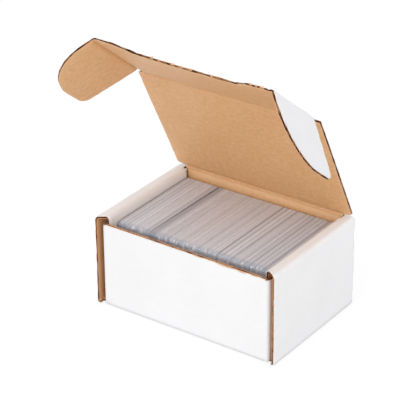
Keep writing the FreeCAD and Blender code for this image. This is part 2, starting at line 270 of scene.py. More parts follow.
# Card stock: pressed edges, a little different from card to card, with painted shade in and behind a crack
# and on the end card at the wall, cooler round the front corners
stock, shader = new_material("card_stock")
graph = Graph(stock)
fibre = graph.noise(graph.spot(), scale=1100.0, roughness=0.65, stretch=(1.0, 0.35, 0.35))
fleck = graph.noise(graph.spot(), scale=520.0, roughness=0.7, stretch=(1.0, 0.5, 0.5))
tone = graph.attribute("tone")
tint = graph.mix(tone, colour(135, 138, 150), colour(241, 245, 255))
tint = graph.mix(graph.range(fibre, 0.3, 0.7, 0.0, 0.4), tint, colour(197, 199, 211))
cool = graph.mix(graph.range(fleck, 0.52, 0.68), colour(184, 193, 208), colour(252, 253, 255))
cool = graph.mix(graph.range(tone, 0.4, 0.85, 0.75, 0.0), cool, colour(160, 167, 181))
tint = graph.mix(graph.times(graph.attribute("front"), 0.9), tint, cool)
graph.feed(shader.inputs["Base Color"], tint)
graph.feed(shader.inputs["Roughness"], graph.range(fibre, 0.3, 0.7, 0.45, 0.62))
graph.bump(shader, fibre, 0.03 * mm)

board_inks = {"white": 0, "kraft": 1, "raw": 2}


def cut_outline(corners, lines_f, lines_c, holes=()):
    """Flat mesh of an outline, cut along straight lines: its points, faces and open edges."""
    flat = bmesh.new()
    flat.faces.new([flat.verts.new((f, c, 0)) for f, c in corners])
    for axis, places in ((right, lines_f), (back, lines_c)):
        for place in places:
            everything = flat.verts[:] + flat.edges[:] + flat.faces[:]
            bmesh.ops.bisect_plane(
                flat, geom=everything, dist=cut_tolerance, plane_co=axis * place, plane_no=axis,
            )
    gone = []
    for low_f, high_f, low_c, high_c in holes:
        for face in flat.faces:
            middle = face.calc_center_median()
            if low_f < middle.x < high_f and low_c < middle.y < high_c:
                gone.append(face)
    bmesh.ops.delete(flat, geom=gone, context="FACES")
    flat.verts.index_update()
    points = np.array([vertex.co[:2] for vertex in flat.verts], float)
    faces = [[vertex.index for vertex in face.verts] for face in flat.faces]
    rim = []
    for edge in flat.edges:
        if len(edge.link_loops) == 1:
            loop = edge.link_loops[0]
            rim.append((loop.vert.index, loop.link_loop_next.vert.index))
    flat.free()
    return points, faces, rim


def steps(low, high, step):
    count = max(1, math.ceil((high - low) / step))
    return [low + (high - low) * number / count for number in range(1, count)]


def distance_to(points, segments):
    """Shortest distance from each flat point to a set of straight segments."""
    far = 1.0
    tiny = 1e-18
    nearest = np.full(len(points), far)
    for start, end in segments:
        start, end = np.array(start, float), np.array(end, float)
        run = end - start
        share = np.clip(((points - start) @ run) / max(run @ run, tiny), 0, 1)
        gap = np.linalg.norm(points - start - share[:, None] * run, axis=1)
        nearest = np.minimum(nearest, gap)
    return nearest


def uneven(points, length, seed):
    """Smooth uneven wave over flat points, about -1 to 1, the same in every run."""
    wave_count = 4
    shortest, longest = 0.6, 1.5
    usual_height = 2.5
    seeded = np.random.default_rng(seed)
    total = np.zeros(len(points))
    for number in range(wave_count):
        way, start = seeded.uniform(0, full_turn, 2)
        turn = full_turn / (length * seeded.uniform(shortest, longest))
        total += np.sin((points[:, 0] * math.cos(way) + points[:, 1] * math.sin(way)) * turn + start)
    return total / usual_height


def shaded_piece(name, mesh):
    """Object of a closed mesh: normals outwards, smooth but for its sharp edges."""
    shell = bmesh.new()
    shell.from_mesh(mesh)
    bmesh.ops.recalc_face_normals(shell, faces=shell.faces[:])
    shell.to_mesh(mesh)
    shell.free()
    mesh.polygons.foreach_set("use_smooth", [True] * len(mesh.polygons))
    mesh.set_sharp_from_angle(angle=sharp_angle)
    piece = bpy.data.objects.new(name, mesh)
    bpy.context.scene.collection.objects.link(piece)
    return piece


def add_mark(mesh, mark, amounts):
    mesh.attributes.new(mark, "FLOAT", "POINT").data.foreach_set("value", amounts)


class Paper:
    """Collects the slabs of one piece and turns them into a mesh object."""

    def __init__(self):
        self.points = []
        self.faces = []
        self.inks = []
        self.places = []
        self.marks = {"edge": [], "crease_and_shade": [], "dark": [], "contact_shade": [], "bare_and_highlight": []}

    def slab(self, flat, low, high, place, sheet, marks, inks):
        """One layer between two heights; inks colour its low side, its high side and its rim."""
        points, faces, rim = flat
        low_ink, high_ink, rim_ink = [board_inks[ink] for ink in inks]
        first = sum(len(part) for part in self.points)
        count = len(points)
        for heights in (low, high):
            self.points.append(place(points[:, 0], points[:, 1], heights))
            self.places.append(sheet)
            for mark, amounts in marks.items():
                self.marks[mark].append(amounts)
        for face in faces:
            self.faces.append([first + index for index in reversed(face)])
            self.faces.append([first + count + index for index in face])
            self.inks += [low_ink, high_ink]
        for start, end in rim:
            ring = [start, end, end + count, start + count]
            self.faces.append([first + index for index in ring])
            self.inks.append(rim_ink)

    def finish(self, name, materials):
        mesh = bpy.data.meshes.new(name)
        mesh.from_pydata(np.concatenate(self.points).tolist(), [], self.faces)
        for material in materials:
            mesh.materials.append(material)
        mesh.polygons.foreach_set("material_index", self.inks)
        sheet = mesh.uv_layers.new(name="sheet")
        corners = np.zeros(len(mesh.loops), int)
        mesh.loops.foreach_get("vertex_index", corners)
        sheet.data.foreach_set("uv", np.concatenate(self.places)[corners].ravel())
        for mark, amounts in self.marks.items():
            add_mark(mesh, mark, np.concatenate(amounts))
        return shaded_piece(name, mesh)


def make_board(
    node, corners, place, cut_edges, holes=(), bow=0.0, fine_f=(), fine_c=(),
    dark=0.0, crease_and_shade=(), contact_shade=(), bare_and_highlight=(), crush=crush_share, torn=(), rim="white",
):
    """Corrugated piece that stands for a node: cut_edges numbers the outline's edges that are cut raw.

    dark is how brown those edges are, partly their own colour and partly painted shade on shaded and hidden
    edges, crush how far they are pressed together, and torn the fibres (f, c, width, rise) that stick out;
    rim is the colour of the white liner's cut. score lists pressed creases and painted shade in corners and
    pockets as (flat axis, place on it, width, amount), soil the flat axes with painted shade at their 0
    where they meet the floor, and bare the worn spots and a painted highlight as (f, c, reach along f, reach
    along c, amount)."""
    outline = [Vector(corner) for corner in corners]
    count = len(outline)
    segments = [(outline[index], outline[(index + 1) % count]) for index in range(count)]
    cut = [segments[index] for index in cut_edges]
    kept = [segments[index] for index in range(count) if index not in cut_edges]
    for hole in holes:
        ring = rectangle(*hole)
        cut += [(ring[index], ring[(index + 1) % 4]) for index in range(4)]
    low_f, high_f = min(p.x for p in outline), max(p.x for p in outline)
    low_c, high_c = min(p.y for p in outline), max(p.y for p in outline)
    pitch = (high_c - low_c) / max(1, round((high_c - low_c) / flute_pitch))
    seed = sum(ord(letter) for letter in node)
    lines_f = steps(low_f, high_f, liner_step) + list(fine_f)
    lines_c = steps(low_c, high_c, liner_step) + list(fine_c)
    for start, end in cut:
        for lines, first, second in ((lines_f, start[0], end[0]), (lines_c, start[1], end[1])):
            if abs(first - second) < same_place:
                lines += [first + side * gap for gap in edge_lines for side in (-1, 1)] + [first]
    lines_f = sorted({round(line, line_digits) for line in lines_f if low_f < line < high_f})
    lines_c = sorted({round(line, line_digits) for line in lines_c if low_c < line < high_c})
    wave_f = steps(low_f, high_f, medium_step) + list(fine_f)
    wave_c = steps(low_c, high_c, pitch / lines_per_flute)
    for hole in holes:
        wave_f += hole[:2]
        wave_c += hole[2:]
    flat = cut_outline(corners, lines_f, lines_c, holes)
    waved = cut_outline(corners, sorted(wave_f), sorted(wave_c), holes)
    paper = Paper()

    def level(points, heights):
        near = np.exp(-((distance_to(points, cut) / crush_reach) ** 2))
        pressed = np.clip(crush * (1 + uneven(points, crush_wave, seed)), 0, crush_limit)
        held = 1 - np.exp(-distance_to(points, kept) / bow_hold) if kept else 1.0
        return heights * (1 - near * pressed) + bow * held * uneven(points, bow_wave, seed + 1)

    def marks(points):
        def near(axis, at, width):
            return np.exp(-(((points[:, axis] - at) / width) ** 2))

        def spot(f, c, reach_f, reach_c, amount):
            away = ((points[:, 0] - f) / reach_f) ** 4 + ((points[:, 1] - c) / reach_c) ** 4
            return amount * np.exp(-away)

        none = np.zeros(len(points))
        return {
            "edge": np.exp(-distance_to(points, cut) / worn_width),
            "crease_and_shade": sum((amount * near(axis, at, width) for axis, at, width, amount in crease_and_shade), none),
            "contact_shade": sum((near(axis, 0, contact_shade_width) for axis in contact_shade), none),
            "dark": np.full(len(points), dark),
            "bare_and_highlight": sum((spot(*numbers) for numbers in bare_and_highlight), none),
        }

    def sheet(points):
        return np.stack([points[:, 0], (points[:, 1] - low_c) * flute_pitch / pitch], axis=1)

    def layer(outline_mesh, lower, upper, inks):
        points = outline_mesh[0]
        paper.slab(outline_mesh, lower, upper, place, sheet(points), marks(points), inks)

    points = flat[0]
    for low, high, inks in (
        (half_board - liner, half_board, ("raw", "white", rim)),
        (-half_board, liner - half_board, ("kraft", "raw", "raw" if dark > raw_rim_dark else "kraft")),
    ):
        lower = level(points, np.full(len(points), low))
        upper = level(points, np.full(len(points), high))
        layer(flat, lower, upper, inks)
    points = waved[0]
    reach = half_board - liner - medium / 2
    wave = -reach * np.cos((points[:, 1] - low_c) * full_turn / pitch)
    layer(waved, level(points, wave - medium / 2), level(points, wave + medium / 2), ("raw", "raw", "raw"))
    for f, c, width, rise in torn:
        root = c - flake_root
        tip = c + flake_tip
        chip_shares = ((0, root), (1, root), (0.8, tip), (0.45, c), (0.1, tip))
        chip = [(f + share * width, at) for share, at in chip_shares]
        flake = cut_outline(chip, steps(f, f + width, flake_step_f), steps(root, tip, flake_step_c))
        share = np.clip((flake[0][:, 1] - root) / (tip - root), 0, 1)
        lower = (flake_high + rise) * share ** flake_curl - flake_low * (1 - share)
        layer(flake, lower, lower + flake_paper, ("kraft", "kraft", "kraft"))
    piece = paper.finish(f"{node}_board", (white, kraft, raw))
    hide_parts(node)
    return piece


def as_rows(vector):
    return np.array(vector, float)[None, :]


def along_rows(amounts, vector):
    """Each amount times the vector, as rows; the vector may be one for all or rows of its own."""
    rows = vector if isinstance(vector, np.ndarray) else as_rows(vector)
    return amounts[:, None] * rows


def flat_place(origin, along, across, outer):
    """Flat board: flutes along the first direction, white side towards the last."""
    def place(f, c, h):
        return as_rows(origin) + along_rows(f, along) + along_rows(c, across) + along_rows(h, outer)
    return place


def fold_place(centre, axis, start, end, flutes_turn, sharp=2):
    """Quarter turn of board from the first radial direction to the second about the axis.

    sharp is 2 for a round turn and more for one that fills its corner better."""
    def place(f, c, h):
        run, width = (f, c) if flutes_turn else (c, f)
        angle = np.clip(run / fold_middle, 0, quarter_turn)
        corner = (np.cos(angle) ** sharp + np.sin(angle) ** sharp) ** (-1 / sharp)
        spoke = along_rows(np.cos(angle), start) + along_rows(np.sin(angle), end)
        return as_rows(centre) + along_rows(width, axis) + along_rows((fold_middle + h) * corner, spoke)
    return place


def rectangle(low_f, high_f, low_c, high_c):
    return [(low_f, low_c), (high_f, low_c), (high_f, high_c), (low_f, high_c)]


def arc(centre_f, centre_c, radius, start, end, count):
    angles = [start + (end - start) * number / count for number in range(count + 1)]
    return [(centre_f + radius * math.cos(a), centre_c + radius * math.sin(a)) for a in angles]


fold_steps = 10
fold_lines = [fold_run * number / fold_steps for number in range(1, fold_steps)]


def make_fold(node, centre, axis, start, end, low, high, flutes_turn, ahead=(0, 0), dark=0.0, sharp=2):
    """Fold between two boards: only its two ends along the axis are cut raw.

    ahead is how far its low end reaches past low where the turn starts and where it ends; a sharp fold
    is one of the floor's, with painted shade where its turn starts at the floor."""
    place = fold_place(centre, axis, start, end, flutes_turn, sharp)
    # A floor fold gets painted shade where its turn starts at the floor
    contact_shade = ()
    if sharp > 2:
        contact_shade = (0,) if flutes_turn else (1,)
    if flutes_turn:
        corners = [(0, low - ahead[0]), (fold_run, low - ahead[1]), (fold_run, high), (0, high)]
        piece = make_board(node, corners, place, (0, 2), fine_f=fold_lines, dark=dark, contact_shade=contact_shade)
    else:
        corners = rectangle(low, high, 0, fold_run)
        piece = make_board(node, corners, place, (1, 3), fine_c=fold_lines, dark=dark, contact_shade=contact_shade)
    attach(piece, "box")


# Box: base with its slots, front and back walls
bottom_sharp = 5
wall_low, wall_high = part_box("front_wall")
back_low, back_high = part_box("back_wall")
fold_y = fold_high.y
side_fold_x = base_high.x
tab_spans = [(low * mm, high * mm) for low, high in ((-32.2, -15.8), (15.8, 32.2))]
slot_inner = 69.2 * mm
slot_outer = 72.1 * mm
slots = []
for low_f, high_f in ((-slot_outer, -slot_inner), (slot_inner, slot_outer)):
    slots += [(low_f, high_f, low_c, high_c) for low_c, high_c in tab_spans]
base_corners = rectangle(-side_fold_x, side_fold_x, fold_y, -fold_y)
base_place = flat_place((0, 0, half_board), right, back, -up)
piece = make_board("base_panel", base_corners, base_place, (), slots)
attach(piece, "box")

# Along the front wall's rim, in mm: torn fibres as (place, width, rise), bare spots as (place, reach, depth)
front_flakes = ((-19, 2.2, 0.7), (28.5, 2.6, 0.9), (36, 3.2, 1.1), (46, 3.6, 1.0))
front_torn = [(f * mm, wall_high.z, width * mm, rise * mm) for f, width, rise in front_flakes]
front_spots = ((13, 4, 0.7), (38, 7, 1.2), (51.5, 3.5, 1.4), (62, 3, 0.8))
front_bare = [(f * mm, wall_high.z, reach * mm, depth * mm, 1) for f, reach, depth in front_spots]
spot_edge_shares = (-1.2, -0.8, 0.8, 1.2)
# Painted highlight: paler kraft along the whole top of the back wall's inside, carried by the same mark as
# the bare spots
back_highlight = [(0, back_high.z, 2 * back_high.x, 5 * mm, 0.5)]
wall_bow = 0.12 * mm
wall_crush = 0.08
wall_end_lines = (-2.4, -1.6, -1, -0.4, 0.4, 1, 1.6, 2.4)
wall_top_lines = (0.9, 1.6, 3, 4.5, 6)
# Painted shade in the box's corners: darker kraft near both ends of the front and back walls
wall_shade_in = 1 * mm
wall_end_shade = 3.4
for node, outer, low, high, cut_edges, fibres, bare_and_highlight in (
    ("front_wall", -back, wall_low, wall_high, (2,), front_torn, front_bare),
    ("back_wall", back, back_low, back_high, (), (), back_highlight),
):
    place = flat_place((0, (low.y + high.y) / 2, 0), right, up, outer)
    corners = rectangle(low.x, high.x, low.z, high.z)
    fine_f = [end + line * mm for end in (low.x, high.x) for line in wall_end_lines]
    fine_f += [f + share * reach for f, c, reach, depth, amount in front_bare for share in spot_edge_shares]
    piece = make_board(
        node, corners, place, cut_edges, bow=wall_bow, crush=wall_crush, torn=fibres, bare_and_highlight=bare_and_highlight, rim="kraft",
        fine_f=fine_f, fine_c=[high.z - depth * mm for depth in wall_top_lines],
        crease_and_shade=[(0, end, score_width, wall_end_shade) for end in (low.x + wall_shade_in, high.x - wall_shade_in)],
    )
    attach(piece, "box")

for end, outer in (("front", -back), ("back", back)):
    low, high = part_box(f"{end}_bottom_fold")
    centre = Vector((0, (high if end == "front" else low).y, fold_outside))
    make_fold(f"{end}_bottom_fold", centre, right, -up, outer, low.x, high.x, False, sharp=bottom_sharp)

# Rolled sides with their slanted front ends, and the corner flaps in them
floor_gap = 0.4 * mm
slant_share = 0.65
back_gap = 1 * mm
tab_play = 0.2 * mm
inner_bow = 0.1 * mm
flap_taper = 3 * mm
outer_fold_dark = 0.3
# Painted shade: browner cut edges on the pieces hidden in the pockets
hidden_edge_shade = 0.8
# Painted shade inside the pockets: darker kraft at the front ends of the outer and inner walls and at the
# folded ends of the corner flaps
outer_end_shade = (7 * mm, 2)
hidden_end_shade = (4 * mm, 3)
# Painted shade: each roll's cut edges browner, the right one's much more than the left's
for side, sign, roll_edge_shade in (("left", -1, 0.3), ("right", 1, 1.2)):
    outer = right * sign
    low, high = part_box(f"{side}_outer_wall")
    wall_front = low.y
    place = flat_place(((low.x + high.x) / 2, 0, 0), up, back, outer)
    corners = rectangle(low.z, high.z, low.y, high.y)
    # Painted shade inside the pocket, at the outer wall's front end
    crease_and_shade = ((1, low.y, *outer_end_shade),)
    piece = make_board(f"{side}_outer_wall", corners, place, (0, 2), bow=wall_bow, crease_and_shade=crease_and_shade)
    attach(piece, "box")
    low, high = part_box(f"{side}_top_strip")
    place = flat_place((0, 0, (low.z + high.z) / 2), right, back, up)
    corners = rectangle(low.x, high.x, low.y, high.y)
    strip_ahead = (low.y - wall_front) * slant_share
    outer_corner = 0 if sign < 0 else 1
    corners[outer_corner] = (corners[outer_corner][0], low.y - strip_ahead)
    piece = make_board(f"{side}_top_strip", corners, place, (0, 2), dark=roll_edge_shade)
    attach(piece, "box")
    low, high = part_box(f"{side}_inner_wall")
    foot = board + tab_play
    corners = [(high.z, low.y), (foot, low.y)]
    for slot_start, slot_end in tab_spans:
        start, end = slot_start + tab_play, slot_end - tab_play
        corners += [(foot, start), (low.z, start), (low.z, end), (foot, end)]
    inner_back = high.y - back_gap
    corners += [(foot, inner_back), (high.z, inner_back)]
    place = flat_place(((low.x + high.x) / 2, 0, 0), up, back, -outer)
    cut_edges = tuple(range(len(corners) - 1))
    crease_and_shade = ((1, low.y, *hidden_end_shade),)
    piece = make_board(
        f"{side}_inner_wall", corners, place, cut_edges, bow=inner_bow, dark=hidden_edge_shade, crease_and_shade=crease_and_shade,
    )
    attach(piece, "box")
    low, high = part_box(f"{side}_bottom_fold")
    centre = Vector((sign * side_fold_x, 0, fold_outside))
    make_fold(f"{side}_bottom_fold", centre, back, -up, outer, low.y, high.y, True, sharp=bottom_sharp)
    low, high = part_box(f"{side}_outer_top_fold")
    centre = Vector((sign * side_fold_x, 0, low.z))
    ahead = (low.y - wall_front, strip_ahead)
    make_fold(f"{side}_outer_top_fold", centre, back, outer, up, low.y, high.y, True, ahead, outer_fold_dark)
    low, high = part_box(f"{side}_inner_top_fold")
    centre = Vector((sign * max(abs(low.x), abs(high.x)), 0, low.z))
    fold_back = high.y - back_gap
    make_fold(f"{side}_inner_top_fold", centre, back, up, -outer, low.y, fold_back, True, dark=roll_edge_shade)
    for end, inward in (("front", back), ("back", -back)):
        low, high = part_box(f"{end}_{side}_corner_flap")
        start = low.y if end == "front" else high.y
        length = high.y - low.y
        corners = [(0, low.z), (length, low.z + flap_taper), (length, high.z - flap_taper), (0, high.z)]
        place = flat_place(((low.x + high.x) / 2, start, 0), inward, up, outer)
        crease_and_shade = ((0, 0, *hidden_end_shade),)
        piece = make_board(
            f"{end}_{side}_corner_flap", corners, place, (0, 1, 2), dark=hidden_edge_shade, crease_and_shade=crease_and_shade,
        )
        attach(piece, "box")
        low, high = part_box(f"{end}_{side}_fold")
        centre = Vector((sign * min(abs(low.x), abs(high.x)), start, 0))
        make_fold(f"{end}_{side}_fold", centre, up, -inward, outer, floor_gap, high.z, True)

# Directions of the moving boards, from the joints
lid_axis = Vector(joints["lid_hinge"]["pos_m"])
tuck_axis = Vector(joints["tuck_fold"]["pos_m"])
lid_axis.x = 0
tuck_axis.x = 0
lid_forward = (tuck_axis - lid_axis).normalized()
lid_length = (tuck_axis - lid_axis).length
lid_outer = lid_forward.cross(right)
if lid_outer.z < 0:
    lid_outer = -lid_outer
tuck_angle = math.radians(-joints["tuck_fold"]["range_deg"][0])
tuck_forward = (lid_forward * math.cos(tuck_angle) - lid_outer * math.sin(tuck_angle)).normalized()
tuck_outer = (lid_outer * math.cos(tuck_angle) + lid_forward * math.sin(tuck_angle)).normalized()

# Creases: half their width, the free play beside them, and how far the score presses each liner in
crease_half = 3 * mm
crease_steps = 12
crease_lines = [crease_half * number / crease_steps for number in range(1 - crease_steps, crease_steps)]
swing_gap = 0.3 * mm
swing_start = half_board + swing_gap
kraft_pinch = 0.5
white_pinch = 0.16
# The creases' darker kraft: pressed fibres, and painted shade in the groove
crease_score_and_shade = (0, score_width, 1)
hinged_crush = 0.12


def eased(place_across):
    """0 before a crease and 1 after it, with a soft start and end."""
    run = np.clip((place_across + crease_half) / (2 * crease_half), 0, 1)
    return run * run * (3 - 2 * run)


def crease_place(axis_point, along, start_way, start_outer, turn):
    """Board that bends about an axis: straight before it, turned by the full angle after it."""
    def place(f, c, h):
        angle = turn * eased(c)
        pinch = 1 - np.where(h < 0, kraft_pinch, white_pinch) * np.exp(-((c / score_width) ** 2))
        way = along_rows(np.cos(angle), start_way) + along_rows(np.sin(angle), start_outer)
        out = along_rows(np.cos(angle), start_outer) - along_rows(np.sin(angle), start_way)
        return as_rows(axis_point) + along_rows(f, along) + along_rows(c, way) + along_rows(h * pinch, out)
    return place


def turned(place):
    """The same place with the flutes running across the crease instead of along it."""
    def swapped(f, c, h):
        return place(c, f, h)
    return swapped


# Lid and its crease on the back wall
lid_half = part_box("lid_panel")[1].x
crease_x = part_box("lid_crease")[1].x
tuck_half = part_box("tuck_crease")[1].x
corner_gap = 0.4 * mm
corner_slant = 2 * mm
back_tab_x = crease_x + corner_gap
front_tab_x = tuck_half + corner_gap
lid_bow = 0.25 * mm
lid_dark = 0.5
lid_right = [
    (crease_x, crease_half), (crease_x, swing_start), (back_tab_x, swing_start), (back_tab_x, 0),
    (lid_half, corner_slant), (lid_half, lid_length - swing_gap), (front_tab_x, lid_length - swing_gap),
    (front_tab_x, lid_length - swing_start), (tuck_half, lid_length - swing_start),
    (tuck_half, lid_length - crease_half),
]
lid_corners = lid_right + [(-x, c) for x, c in reversed(lid_right)]
lid_kept = (len(lid_right) - 1, 2 * len(lid_right) - 1)
lid_cut = tuple(index for index in range(len(lid_corners)) if index not in lid_kept)
place = flat_place(lid_axis, right, lid_forward, lid_outer)
piece = make_board("lid_panel", lid_corners, place, lid_cut, bow=lid_bow, dark=lid_dark, crush=hinged_crush)
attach(piece, "lid")
lid_turn = math.atan2(lid_forward.dot(back), lid_forward.dot(up))
place = crease_place(lid_axis, right, up, back, lid_turn)
corners = rectangle(-crease_x, crease_x, -crease_half, crease_half)
crease_and_shade = ((1, *crease_score_and_shade),)
piece = make_board("lid_crease", corners, place, (1, 3), fine_c=crease_lines, dark=lid_dark, crease_and_shade=crease_and_shade)
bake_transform(piece)

# Front flap with its notch, and its crease on the lid
tuck_floor_gap = 1 * mm
tuck_depth = lid_axis.z - tuck_floor_gap
notch_depth = 10 * mm
notch_half = 42 * mm
notch_ramp = 14 * mm
notch_end = tuck_depth - notch_depth
ramp_end = notch_half + notch_ramp
ear_strip_gap = 3 * mm
ear_start = swing_start + board + ear_strip_gap
ear_end = lid_axis.z - fold_outside
tuck_bow = 0.15 * mm
tuck_dark = 0.45
tuck_crush = 0.36
sag_twist = 0.9 * mm
sag_middle = 0.75 * mm


def sag(x, c):
    """How far the flap hangs below its plane: nothing at its crease, most towards its right free corner."""
    share = np.sin(np.clip(c / tuck_depth, 0, 1) * quarter_turn)
    across = np.clip(x / tuck_half, -1, 1)
    return share * (sag_twist * across + sag_middle * (1 - across * across))


def sagged(place, amount_of):
    """The same place, let down from the flap's plane by amount_of(f, c)."""
    def lowered(f, c, h):
        return place(f, c, h) - along_rows(amount_of(f, c), tuck_outer)
    return lowered


tuck_corners = [
    (-tuck_half, crease_half), (tuck_half, crease_half), (tuck_half, ear_start), (tuck_half, ear_end),
    (tuck_half, tuck_depth), (ramp_end, tuck_depth), (notch_half, notch_end), (-notch_half, notch_end),
    (-ramp_end, tuck_depth), (-tuck_half, tuck_depth), (-tuck_half, ear_end), (-tuck_half, ear_start),
]
tuck_cut = (1, 3, 4, 5, 6, 7, 8, 9, 11)
# Torn fibres of the notch and of the right tab as (place, width, rise), in mm
notch_flakes = ((-31, 3.4, 0.6), (-24, 1.8, -0.1), (-13, 3.4, 0.1), (-5, 2.4, 0), (3, 3, 0.1), (21, 2.6, 0))
tab_flakes = ((58.5, 2.6, 0.1), (63, 2.2, 0), (67, 3.6, 0.2))
torn = [(f * mm, notch_end, width * mm, rise * mm) for f, width, rise in notch_flakes]
torn += [(f * mm, tuck_depth, width * mm, rise * mm) for f, width, rise in tab_flakes]
place = sagged(flat_place(tuck_axis, right, tuck_forward, tuck_outer), sag)
piece = make_board(
    "tuck_flap", tuck_corners, place, tuck_cut, bow=tuck_bow, dark=tuck_dark, crush=tuck_crush, torn=torn,
)
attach(piece, "tuck")
place = sagged(crease_place(tuck_axis, right, lid_forward, lid_outer, -tuck_angle), sag)
corners = rectangle(-tuck_half, tuck_half, -crease_half, crease_half)
piece = make_board("tuck_crease", corners, place, (1, 3), fine_c=crease_lines, dark=tuck_dark, crease_and_shade=crease_and_shade)
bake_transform(piece)

# Ears with rounded tips, and their creases on the front flap
ear_axis_x = tuck_half + crease_half
ear_length = 49.8 * mm
ear_round = 42.5 * mm
ear_corner = 7.5 * mm
round_steps = 28
corner_steps = 8
ear_bow = 0.1 * mm
ear_dark = 0.5
for side, sign in (("left", -1), ("right", 1)):
    outward = right * sign
    ear_angle = math.radians(-joints[f"{side}_ear_fold"]["range_deg"][0])
    ear_forward = outward * math.cos(ear_angle) - tuck_outer * math.sin(ear_angle)
    ear_outer = tuck_outer * math.cos(ear_angle) + outward * math.sin(ear_angle)
    axis_point = tuck_axis + outward * ear_axis_x
    corners = [(crease_half, ear_end), (crease_half, ear_start)]
    tip, low_tip = ear_length - ear_corner, ear_start + ear_corner
    corners += arc(tip, low_tip, ear_corner, -quarter_turn, 0, corner_steps)
    tip, high_tip = ear_length - ear_round, ear_end - ear_round
    corners += arc(tip, high_tip, ear_round, 0, quarter_turn, round_steps)
    cut_edges = tuple(range(1, len(corners)))

    def fading_sag(f, c, x=sign * tuck_half):
        """The flap's sag at this end, gone where the ear starts, so that the ear fits its pocket."""
        return sag(x, c) * (1 - eased(f))

    place = flat_place(axis_point, ear_forward, tuck_forward, ear_outer)
    piece = make_board(
        f"{side}_ear", corners, place, cut_edges, bow=ear_bow, dark=ear_dark, crush=hinged_crush,
    )
    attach(piece, f"{side}_ear")
    place = turned(crease_place(axis_point, tuck_forward, outward, tuck_outer, -ear_angle))
    place = sagged(place, fading_sag)
    corners = rectangle(-crease_half, crease_half, ear_start, ear_end)
    crease_and_shade = ((0, *crease_score_and_shade),)
    piece = make_board(
        f"{side}_ear_crease", corners, place, (0, 2), fine_f=crease_lines, dark=ear_dark, crease_and_shade=crease_and_shade,
    )
    start = axis_point - outward * crease_half
    end = axis_point + ear_forward * crease_half
    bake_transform(piece)
    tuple(start)
    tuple(end)

# Cards: thin plates with rounded corners, each a little out of line with its neighbours
chance = np.random.default_rng(11)
pack_nodes = sorted(name for name in frame["nodes"] if name.startswith("card_pack"))
pack_boxes = {node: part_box(node) for node in pack_nodes}
first_x = min(low.x for low, high in pack_boxes.values())
last_x = max(high.x for low, high in pack_boxes.values())
stack_length = last_x - first_x
card_thickness = 0.42 * mm
fewest_cards = 4
card_corner = 3 * mm
card_corner_steps = 4
card_side_shares = (0.06, 0.94)

# How the cards stand: back to front, down from the pack's top, and leaning into a crack beside the pack
most_shift = 0.4 * mm
left_drop = 0.9 * mm
most_drop = 0.4 * mm
crack_least = 0.5 * mm
lean_share = 0.9
lean_reach = 9 * mm
lean_rise = 1.25

# How pale the cards are: mean, slow drift, change from card to card, and the odd dark card
mean_tone = 0.8
drift_keep = 0.8
drift_spread = 0.42
card_spread = 0.4
odd_card_share = 0.05
odd_card_dark = 0.4
calm_share = 0.4
calm_from = -34 * mm
# Painted shade: the card at the left end, beside the wall, is darker
end_card_width = 0.5 * mm
end_card_shade = 0.3

# Regular stripes at the right end, single dark lines as (x in mm, darkness), and the shade behind a crack
stripe_length = 48 * mm
striped_from = last_x - stripe_length
stripe_step = 4.1 * mm
stripe_width_share = 0.16
stripe_pale = 0.12
stripe_dark = 0.7
stripe_fall = 0.2
dark_lines = ((-43, 0.2), (-12, 0.15), (4.5, 0.15), (21.2, 0.5))
line_width = 0.9 * mm
crack_fade = 0.9 * mm
crack_dark = 0.4
crack_shade = 4.6 * mm
crack_edge = 0.45 * mm
crack_shade_dark = 0.3

# The cooler front corners: how deep they reach at the left, how much more at the right, and by chance
cool_reach = 4.8 * mm
cool_growth = 2.2 * mm
cool_chance = 0.5 * mm
cool_hard_share = 0.4


def card_ring(low_y, high_y, low_z, high_z, front_reach):
    """A card's outline in (y, z), and how much of the cooler front each point belongs to."""
    ring = []
    for number, (y, z) in enumerate(((high_y, high_z), (low_y, high_z), (low_y, low_z), (high_y, low_z))):
        in_y = y - card_corner if y == high_y else y + card_corner
        in_z = z - card_corner if z == high_z else z + card_corner
        if number == 1:
            ring.append((low_y + front_reach, high_z))
        start = quarter_turn * number
        ring += arc(in_y, in_z, card_corner, start, start + quarter_turn, card_corner_steps)
    fade = front_reach - cool_hard_share * card_corner
    fronts = [min(1.0, max(0.0, (low_y + front_reach - y) / fade)) for y, z in ring]
    return ring, fronts


def card_tone(x, drift, behind_crack):
    """How pale the card at x is, from 0 to 1; behind_crack is its distance from a crack, or None."""
    mixed = calm_share if calm_from < x < striped_from else 1.0
    tone = mean_tone + mixed * (drift_spread * (drift - 0.5) + card_spread * (chance.random() - 0.5))
    if chance.random() < odd_card_share:
        tone -= odd_card_dark * mixed
    if x > striped_from:
        since_stripe = (x - striped_from) % stripe_step / stripe_step
        tone += stripe_pale - stripe_dark * math.exp(-((since_stripe / stripe_width_share) ** 2))
        tone -= stripe_fall * (x - striped_from) / stripe_length
    for line_x, darkness in dark_lines:
        tone -= darkness * math.exp(-(((x - line_x * mm) / line_width) ** 2))
    # Painted shade on the end card beside the wall
    if x - first_x < end_card_width:
        tone = end_card_shade
    # Painted shade in and behind a crack
    if behind_crack is not None:
        tone -= crack_dark * math.exp(-behind_crack / crack_fade)
        tone -= crack_shade_dark / (1 + math.exp((behind_crack - crack_shade) / crack_edge))
    return min(1.0, max(0.0, tone))


